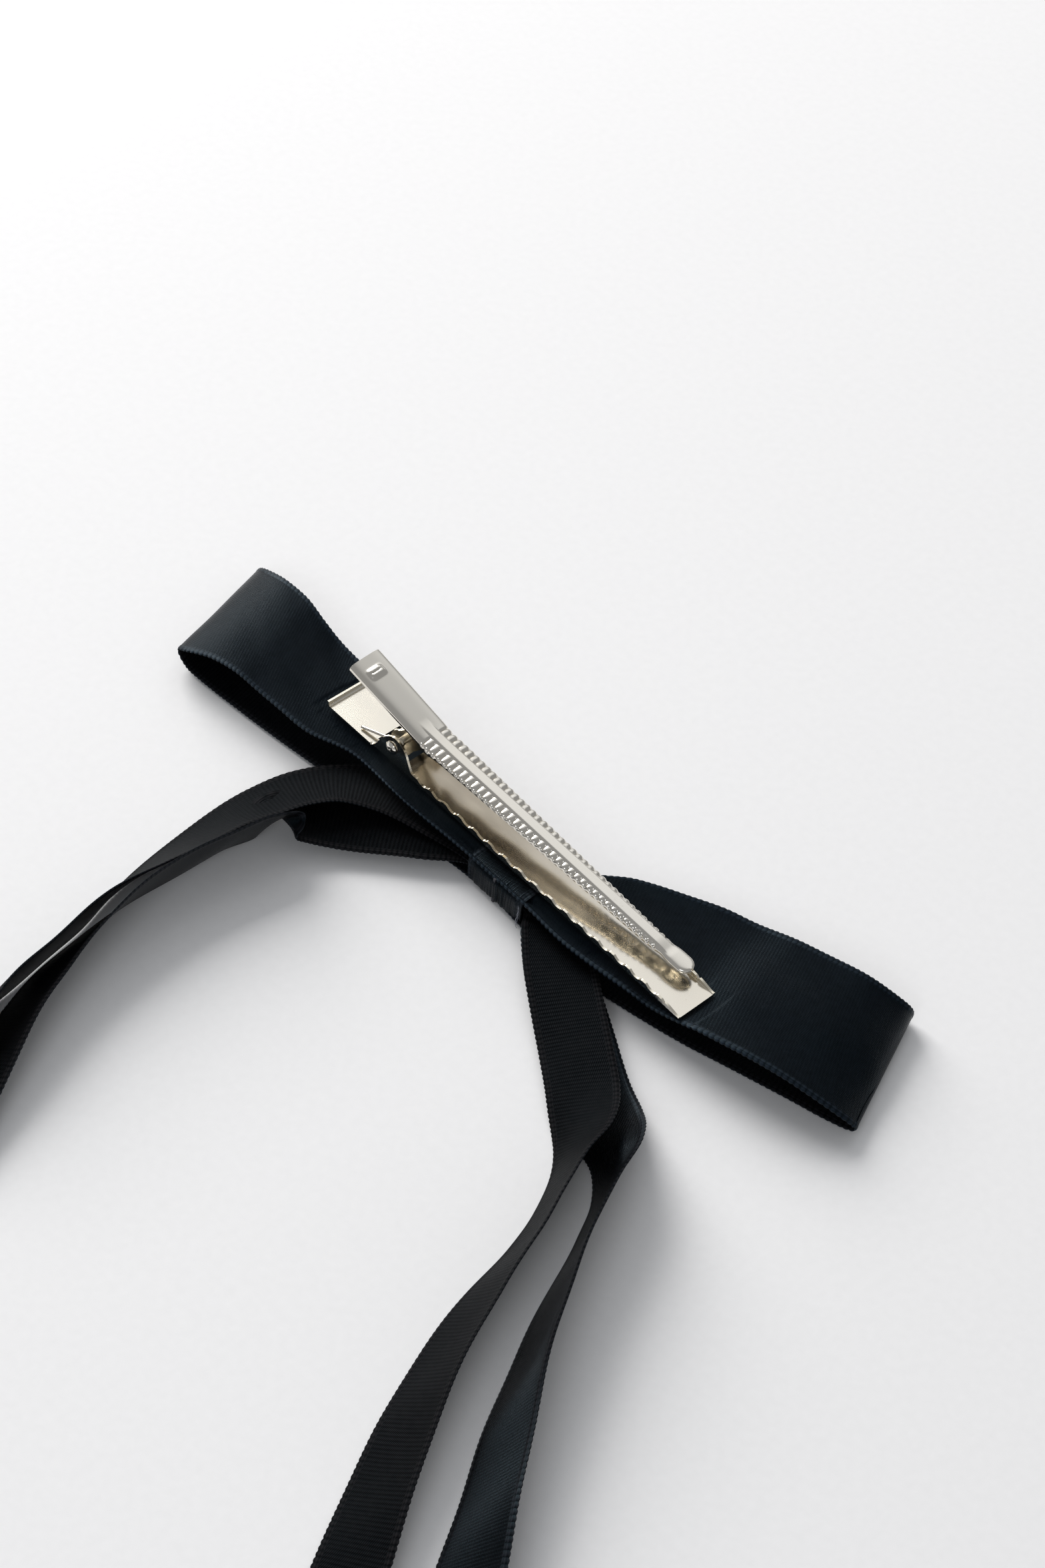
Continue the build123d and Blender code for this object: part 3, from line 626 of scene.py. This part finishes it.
# far edge x, y, then near edge x, y, then the height of the far and of the near edge
LOOP_STATIONS = [
    (5.0, KNOT_HIGH, 5.0, KNOT_LOW, 1.1, 1.1),
    (-3.0, 5.2, -3.0, -6.1, 0.9, 0.9),
    (-16.0, 6.6, -15.0, -7.4, FRONT, FRONT),
    (-32.0, 7.9, -30.0, -9.2, FRONT, FRONT),
    (-48.0, 8.2, -45.0, -10.9, FRONT, FRONT),
    (-60.0, 8.4, -55.5, -11.8, FRONT, 0.65),
    (-64.8, 8.6, -58.6, -11.9, 1.0, 1.3),
    (-66.2, 8.7, -59.8, -12.0, 2.6, 3.2),
    (-64.0, 8.2, -57.6, -12.4, 4.6, 5.0),
    (-59.0, 8.0, -53.2, -11.0, 6.4, 6.4),
    (-53.6, 7.8, -48.4, -10.2, 7.0, 6.8),
    (-48.6, 7.1, -44.0, -9.8, 6.5, 6.4),
    (-43.5, 6.7, -39.0, -9.4, 5.7, 5.9),
    (-37.0, 6.4, -33.0, -8.8, 5.3, 5.5),
    (-26.0, 5.8, -25.0, -6.2, 5.3, 5.3),
    (-14.0, 5.1, -14.0, -6.4, 5.2, 5.2),
    (-1.0, KNOT_HIGH, -1.0, KNOT_LOW, BACK, BACK),
    (11.0, KNOT_HIGH, 11.0, KNOT_LOW, BACK, BACK),
    (18.0, 9.9, 20.0, -6.2, 5.2, 5.1),
    (28.0, 15.2, 31.0, -5.0, 5.2, 5.1),
    (34.2, 17.4, 37.2, -4.0, 5.4, 5.3),
    (41.6, 19.4, 45.4, -2.4, 6.6, 6.7),
    (50.9, 21.9, 55.8, 0.2, 6.8, 6.8),
    (56.8, 24.2, 63.8, 3.0, 4.6, 4.6),
    (57.9, 25.4, 66.3, 4.9, 2.1, 2.1),
    (56.2, 25.0, 64.3, 4.4, 0.8, 0.8),
    (48.0, 22.2, 54.0, 1.6, FRONT, FRONT),
    (34.0, 17.2, 38.0, -3.0, FRONT, FRONT),
    (20.0, 10.8, 22.0, -6.0, FRONT, FRONT),
    (11.0, 5.3, 11.0, -6.2, 0.9, 0.9),
    (5.0, KNOT_HIGH, 5.0, KNOT_LOW, 1.5, 1.5),
]
CLOTH, ROW_STEP = 0.32, 0.16
LOWEST = CLOTH / 2 + 0.02
print(len(LOOP_STATIONS), "stations round both loops")


# %% Ribbon between two edges
def even_rows(line, step):
    """Row numbers, as fractions, that are step apart along a line of points."""
    run = length_along(line)
    return np.interp(np.arange(0, run[-1], step), run, np.arange(len(line))), run[-1]


def sample(table, rows):
    """Rows of a table read at fractional row numbers, straight between neighbours."""
    return np.stack([np.interp(rows, np.arange(len(table)), column) for column in table.T], axis=1)


def selvedge_columns(half, inner):
    """Places across a ribbon: close together on the selvedges and even between them."""
    outer = np.array([0.0, 0.18, 0.5, 0.9])
    return np.concatenate([-half + outer, np.linspace(-half, half, inner + 2)[2:-2], half - outer[::-1]])


def edge_beads(along, columns):
    """Steps out at a ribbon's two edges and 0 between them: |sin(pi along / BEAD)| * BEAD_HEIGHT."""
    edge = np.zeros((1, columns))
    edge[0, 0], edge[0, -1] = -1, 1
    return edge * (np.abs(np.sin(np.pi * along / BEAD)) * BEAD_HEIGHT)


def ribbon_thickness(columns, body, rim, selvedge):
    """Thickness across a ribbon: an even body, a thicker selvedge and a thin rim outside it."""
    thick = np.full(columns, body)
    thick[[0, -1]], thick[[1, 2, -3, -2]] = rim, selvedge
    return thick[None, :]


def loop_middle():
    """Point = near edge * (1 - s) + far edge * s, plus pleats: a wave across the cloth whose height
    fades with the distance from the knot, and a slow billow along it."""
    table = curve_through(LOOP_STATIONS, 2600)
    centre_x, centre_y = (table[:, 0] + table[:, 2]) / 2, (table[:, 1] + table[:, 3]) / 2
    centre = np.stack([centre_x, centre_y, table[:, 4:].mean(1)], axis=1)
    rows, length = even_rows(centre, ROW_STEP)
    table, centre = sample(table, rows), sample(centre, rows)
    across = selvedge_columns(LOOP_HALF, 23)
    s = ((across + LOOP_HALF) / (2 * LOOP_HALF))[None, :]
    far = np.stack([table[:, 0], table[:, 1], table[:, 4]], axis=1)[:, None]
    near = np.stack([table[:, 2], table[:, 3], table[:, 5]], axis=1)[:, None]
    grid = near + (far - near) * s[..., None]
    away = np.abs(centre[:, :1] - KNOT[0])
    gather = np.exp(-((away / 15.0) ** 2))
    pleat = np.cos(2 * np.pi * (s * 4.0 + 0.1)) * 0.42 * gather
    fold = np.cos(2 * np.pi * (s * 1.5 + 0.2)) * 0.22 * smooth_step(away, 10, 25)
    fold = fold * (1 - smooth_step(away, 48, 62))
    along = (np.arange(len(rows)) * ROW_STEP)[:, None]
    wave = 0.10 * np.sin(along * 0.21 + 5 * s) + 0.05 * np.sin(along * 0.55 + 11 * s)
    on_top = centre[:, 2:3] > 2.6
    lift = pleat + fold + wave * smooth_step(away, 6, 20)
    near_clip = (grid[..., 0] > CLIP_BACK - 2) & (grid[..., 0] < CLIP_TIP + 2)
    near_clip &= np.abs(grid[..., 1]) < 4.5
    grid[..., 2] += np.where(on_top, np.minimum(lift, 0.1) - 0.12 * near_clip, np.abs(lift) * 0.6)
    step_out = (far - near) / np.linalg.norm(far - near, axis=2, keepdims=True)
    grid += step_out * edge_beads(along, len(across))[..., None]
    grid[..., 2] = np.maximum(grid[..., 2], LOWEST)
    uv = np.stack(np.broadcast_arrays(across[None, :], along), axis=-1)
    return grid, uv, length


loop_grid, loop_uv, loop_length = loop_middle()
loop_thickness = ribbon_thickness(loop_grid.shape[1], CLOTH, 0.2, 0.42)
loop_shell = shell(loop_grid, loop_thickness, loop_uv)
loops = add_piece("bow_loop_ribbon", [loop_shell], [loop_face, loop_back, loop_face])
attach(loops, "base")
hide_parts("bow_loops")
print("loop ribbon", round(loop_length), "mm long")

# %% [markdown]
# ## The tails
# Two narrow ribbons cross the knot and come out on both sides. A ribbon curves freely only on its edge,
# so each one rolls up on edge as it turns, and falls flat again where it runs straight. A station gives
# the middle of the ribbon and its roll, and the ribbon is the level direction across the path turned up
# by that roll. The lower ribbon also turns over inside the knot, so its satin is up on the right.
#
# The stations below were fitted by a separate program and rounded, and a few near the knot were moved
# by hand afterwards, so this table is not one to copy as a way of working.

# %% Tail stations
# x and y of the ribbon's middle, its height, and its roll in degrees
TAILS = {
    "upper": [
        (-13.8, -107.0, 0.5, 0), (-16.0, -97.5, 1.7, -14), (-18.4, -88.0, 3.0, -32),
        (-20.8, -79.0, 4.2, -52), (-22.8, -70.5, 4.8, -66), (-24.2, -62.5, 4.9, -69),
        (-25.6, -55.0, 4.9, -69), (-27.0, -48.0, 4.6, -60), (-27.8, -41.0, 4.0, -49),
        (-28.2, -33.6, 3.4, -36), (-28.2, -26.9, 3.5, -31), (-27.4, -21.1, 3.6, -24),
        (-25.9, -15.4, 3.8, -18), (-22.9, -10.2, 3.8, -16), (-17.5, -5.5, 3.4, -10),
        (-10.0, -2.2, 3.1, -2), (-2.0, KNOT[1], 3.0, 0), (12.0, KNOT[1], 3.0, 0), (16.0, -3.8, 3.0, 2),
        (21.0, -7.8, 2.9, 6), (27.5, -12.2, 2.7, 10), (33.0, -15.8, 2.5, 12), (38.8, -19.9, 2.6, 18),
        (43.6, -24.6, 3.6, 40), (47.0, -30.0, 4.7, 62), (50.0, -36.3, 4.9, 69), (52.4, -42.7, 4.7, 63),
        (54.8, -51.5, 4.4, 56), (57.8, -60.5, 4.0, 48), (61.8, -69.5, 3.6, 42), (66.5, -78.5, 2.9, 32),
        (72.0, -88.0, 2.1, 22), (78.0, -98.0, 1.1, 9), (84.5, -108.5, 0.4, 0),
    ],
    "lower": [
        (-1.5, -106.0, 0.5, 0), (-6.4, -96.5, 1.0, -8), (-11.0, -87.0, 1.9, -19),
        (-15.4, -78.0, 2.9, -33), (-19.0, -70.1, 3.7, -44), (-21.7, -62.6, 3.9, -48),
        (-23.5, -54.7, 4.3, -56), (-24.5, -47.0, 4.7, -65), (-24.6, -39.0, 4.7, -66),
        (-24.0, -30.9, 4.8, -64), (-23.0, -24.3, 4.7, -61), (-23.9, -21.4, 4.1, -8),
        (-22.0, -18.0, 2.7, -4), (-16.8, -12.8, 2.4, 1), (-10.0, -6.6, 2.4, 0),
        (-2.0, KNOT[1], 2.5, 0), (12.0, KNOT[1], 2.5, 0),
        (16.5, -4.3, 2.2, 0), (22.5, -8.6, 1.6, 0), (30.0, -12.7, 1.0, 0), (38.3, -17.2, 0.8, 0),
        (44.6, -20.6, 1.9, 18), (49.8, -24.0, 4.1, 50), (53.4, -29.0, 4.9, 72), (56.3, -34.8, 5.0, 74),
        (60.0, -42.5, 4.9, 70), (64.5, -51.3, 4.7, 63), (70.0, -60.5, 4.2, 53), (76.2, -69.8, 3.7, 44),
        (82.5, -79.0, 2.9, 32), (89.0, -88.5, 1.8, 18), (96.0, -98.5, 0.7, 4),
    ],
}


def tail_middle(stations, phase):
    """Point = path + across * (level cos roll + up sin roll), level being square to the path in plan.
    The edges wander a little, each by its own slow wave, as cut ribbon that has been on a reel does."""
    table = curve_through(stations, 2400)
    rows, length = even_rows(table[:, :3], ROW_STEP)
    table = sample(table, rows)
    ahead = np.gradient(table[:, :2], axis=0)
    ahead /= np.linalg.norm(ahead, axis=1, keepdims=True)
    level = np.stack([-ahead[:, 1], ahead[:, 0], np.zeros(len(rows))], axis=1)[:, None]
    roll = np.radians(table[:, 3])[:, None, None]
    side = level * np.cos(roll) + np.array([0, 0, 1]) * np.sin(roll)
    across = selvedge_columns(TAIL_HALF, 9)
    along = (np.arange(len(rows)) * ROW_STEP)[:, None]
    near_knot = np.exp(-(((table[:, 0] - KNOT[0]) / 22.0) ** 4))[:, None]
    squeeze = 1 - 0.10 * np.exp(-(((table[:, 0] - KNOT[0]) / 9.0) ** 2))[:, None]
    reach = (across[None, :] + edge_beads(along, len(across))) * squeeze
    grid = table[:, None, :3] + side * reach[..., None]
    face = np.cross(side, np.concatenate([ahead, np.zeros((len(rows), 1))], axis=1)[:, None])
    cup = 0.35 * (across[None, :] / TAIL_HALF) ** 2 * np.sin(along * 0.05 + phase)
    cup = cup + 0.12 * np.sin(along * 0.33 + across[None, :] * 0.3 + phase)
    grid = grid + face * (cup * (1 - near_knot))[..., None]
    grid[..., 2] = np.maximum(grid[..., 2], LOWEST)
    uv = np.stack(np.broadcast_arrays(across[None, :], along), axis=-1)
    return grid, uv, length


for phase, (name, stations) in enumerate(TAILS.items()):
    grid, uv, length = tail_middle(stations, phase)
    thickness = ribbon_thickness(grid.shape[1], 0.26, 0.16, 0.34)
    points, faces, uvs, side = shell(grid, thickness, uv)
    turned = (points[faces[:, 0], 0] > KNOT[0]) & (name == "lower")
    side = np.where(turned & (side < 2), 1 - side, side)
    tail = add_piece(f"tail_{name}", [(points, faces, uvs, side)], [tail_back, tail_face, tail_face])
    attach(tail, "base")
    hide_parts(f"tail_ribbon_{name}")
    print(name, "tail", round(length), "mm long")

# %% [markdown]
# ## The knot
# A strip of satin is wound once round the gathered ribbons and glued at the back. Pulled tight, it
# creases along its length, so it is a closed rounded box section carried across the knot, with narrow
# folds that run round it. A few threads have frayed from its cut end. The binding thread under it and
# the glue that holds the clip keep their CAD shapes.

# %% Wrap round the knot
def wrap_middle():
    """Rounded box |y/a|^6 + |z/c|^6 = 1 carried along X, less the sum of three waves across it."""
    half_y, half_z = (wrap_high[1] - wrap_low[1]) / 2 - 0.17, (wrap_high[2] - wrap_low[2]) / 2 - 0.17
    angle = np.linspace(0, 2 * np.pi, 241)[:-1]
    y = half_y * np.sign(np.cos(angle)) * np.abs(np.cos(angle)) ** (1 / 3)
    z = half_z * np.sign(np.sin(angle)) * np.abs(np.sin(angle)) ** (1 / 3)
    outline = np.concatenate([np.stack([y, z], 1), [[y[0], z[0]]]])
    run = length_along(outline)
    even = np.linspace(0, run[-1], 180, endpoint=False)
    y, z = np.interp(even, run, outline[:, 0]), np.interp(even, run, outline[:, 1])
    x = np.linspace(wrap_low[0] - 0.1, wrap_high[0] + 0.3, 90)[None, :]
    crease = 0.10 * np.abs(np.sin(x * 2.3 + 0.2)) + 0.06 * np.abs(np.sin(x * 5.1)) + 0.03 * np.sin(x * 11)
    tight = 1 - crease * (0.7 + 0.3 * np.sin(even[:, None] * 0.5 + x)) / 3.2
    edge_flare = 1 - 0.03 * smooth_step(np.abs(x - KNOT[0]), 4.6, 5.6)
    scale = tight * edge_flare
    grid = np.stack(np.broadcast_arrays(x, KNOT[1] + y[:, None] * scale, KNOT[2] + z[:, None] * scale), -1)
    uv = np.stack(np.broadcast_arrays(x - KNOT[0], even[:, None]), axis=-1)
    return grid, uv, run[-1]


wrap_grid, wrap_uv, wrap_length = wrap_middle()
wrap_shell = shell(wrap_grid, 0.22, wrap_uv, closed=True)
wrap = add_piece("knot_wrap", [wrap_shell], [wrap_face] * 3)
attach(wrap, "base")
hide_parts("centre_wrap")
print("wrap", round(wrap_length, 1), "mm round")


# %% Frayed threads, binding thread and glue
def thread_look(name, colour, rough):
    look = Shading(name)
    where = look.add("TexCoord")["Object"]
    twist = look.noise(where, 2500.0, 2.0, (1, 0.3, 1))
    look.bump(twist, 0.00004, 0.7)
    shade = look.blend(twist, rgb(*colour), rgb(*(c * 1.8 for c in colour)))
    return look.set(Base_Color=shade, Roughness=rough)


fray_look = thread_look("frayed_thread", (0.16, 0.17, 0.20), 0.6)
thread_dark = thread_look("binding_thread_dark", (0.02, 0.02, 0.026), 0.7)
glue_look = thread_look("cured_glue", (0.42, 0.41, 0.38), 0.35)

# each thread's lean, the height it leaves the wrap at and how far it drops
THREADS = [(0.2, 4.6, 1.6), (0.9, 3.9, 2.6), (-0.6, 4.9, 2.2), (1.4, 3.2, 1.4), (0.5, 2.6, 2.0)]
frays = []
for lean, height, drop in THREADS:
    t = np.linspace(0, 1, 12)
    x = wrap_high[0] + 0.1 + 0.5 * t + 0.15 * np.sin(t * 5 + lean)
    y = wrap_low[1] - 0.05 - 0.45 * np.sin(np.pi * t * 0.8) - 0.1 * lean * t
    frays.append(tube(np.stack([x, y, height - drop * t], axis=1), 0.035, 6))
fray = add_piece("frayed_ends", frays, [fray_look], corner=80)
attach(fray, "base")
for node, material in (("binding_thread", thread_dark), ("glue_pad", glue_look)):
    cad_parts[node].data.materials.clear()
    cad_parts[node].data.materials.append(material)

# %% [markdown]
# ## Floor, light and camera
# The bow lies on white paper under a large soft window light from the lever side, with a much weaker
# fill from the near side. The camera looks down on it from the near right, as a person does at a table.

# %% Floor
look = Shading("white_paper")
where = look.add("TexCoord")["Object"]
fibre = look.noise(where, 700.0, 5.0)
look.bump(fibre, 0.00005, 0.35)
white = look.blend(fibre, rgb(0.89, 0.89, 0.895), rgb(0.94, 0.94, 0.945))
paper = look.set(Base_Color=white, Roughness=0.75)
half = 3.0
corners = [(-half, -half, 0), (half, -half, 0), (half, half, 0), (-half, half, 0)]
floor_mesh = bpy.data.meshes.new("paper_floor")
floor_mesh.from_pydata(corners, [], [(0, 1, 2, 3)])
floor_mesh.materials.append(paper)
floor = bpy.data.objects.new("paper_floor", floor_mesh)
bpy.context.scene.collection.objects.link(floor)


# %% Lights
def area_light(name, place, target, size, power, colour):
    """Square soft light at place, turned so that its -Z looks at target."""
    data = bpy.data.lights.new(name, "AREA")
    data.size = size
    data.energy = power
    data.color = colour
    lamp = bpy.data.objects.new(name, data)
    lamp.location = place
    lamp.rotation_euler = (Vector(target) - Vector(place)).to_track_quat("-Z", "Y").to_euler()
    bpy.context.scene.collection.objects.link(lamp)
    return lamp


area_light("window", (-1.42, 0.26, 0.84), (0, 0, 0), 1.10, 31.0, (1.0, 0.985, 0.97))
area_light("fill", (0.35, -0.75, 0.65), (0, 0, 0), 0.35, 1.0, (0.93, 0.96, 1.0))

# %% [markdown]
# A room is not equally bright all round. The world is dim, with a wide soft glow high up on the far
# side of the lever's end, so that polished steel has something to show and black satin stays black
# where it turns away.

# %% Room glow
world = bpy.data.worlds.new("studio")
bpy.context.scene.world = world
world.use_nodes = True
nodes, links = world.node_tree.nodes, world.node_tree.links
toward = nodes.new("ShaderNodeTexCoord")
glow = nodes.new("ShaderNodeVectorMath")
glow.operation = "DOT_PRODUCT"
glow.inputs[1].default_value = (-0.55, 0.50, 0.67)
links.new(toward.outputs["Generated"], glow.inputs[0])
fade = nodes.new("ShaderNodeMapRange")
fade.interpolation_type = "SMOOTHSTEP"
for socket, value in (("From Min", 0.75), ("From Max", 1.0), ("To Min", 0.30), ("To Max", 0.95)):
    fade.inputs[socket].default_value = value
links.new(glow.outputs["Value"], fade.inputs["Value"])
links.new(fade.outputs["Result"], nodes["Background"].inputs["Strength"])
nodes["Background"].inputs["Color"].default_value = rgb(0.97, 0.98, 1.0)
bpy.context.scene.view_settings.view_transform = "Standard"

# %% Camera
TURN, HEIGHT, TILT = np.radians([43.5, 48.0, -6.0])
TARGET, DISTANCE, LENS = Vector((-0.0055, 0.0088, 0.006)), 0.443, 70.03
back = Vector((np.sin(TURN) * np.cos(HEIGHT), -np.cos(TURN) * np.cos(HEIGHT), np.sin(HEIGHT)))
right = Vector((np.cos(TURN), np.sin(TURN), 0))
up = back.cross(right)
level_right = right * np.cos(TILT) - up * np.sin(TILT)
level_up = right * np.sin(TILT) + up * np.cos(TILT)
camera_data = bpy.data.cameras.new("camera")
camera_data.lens = LENS
camera_data.sensor_width = 36
camera_data.clip_start = 0.01
camera = bpy.data.objects.new("camera", camera_data)
axes = Matrix((level_right, level_up, back)).transposed().to_4x4()
camera.matrix_world = Matrix.Translation(TARGET + back * DISTANCE) @ axes
bpy.context.scene.collection.objects.link(camera)
bpy.context.scene.camera = camera
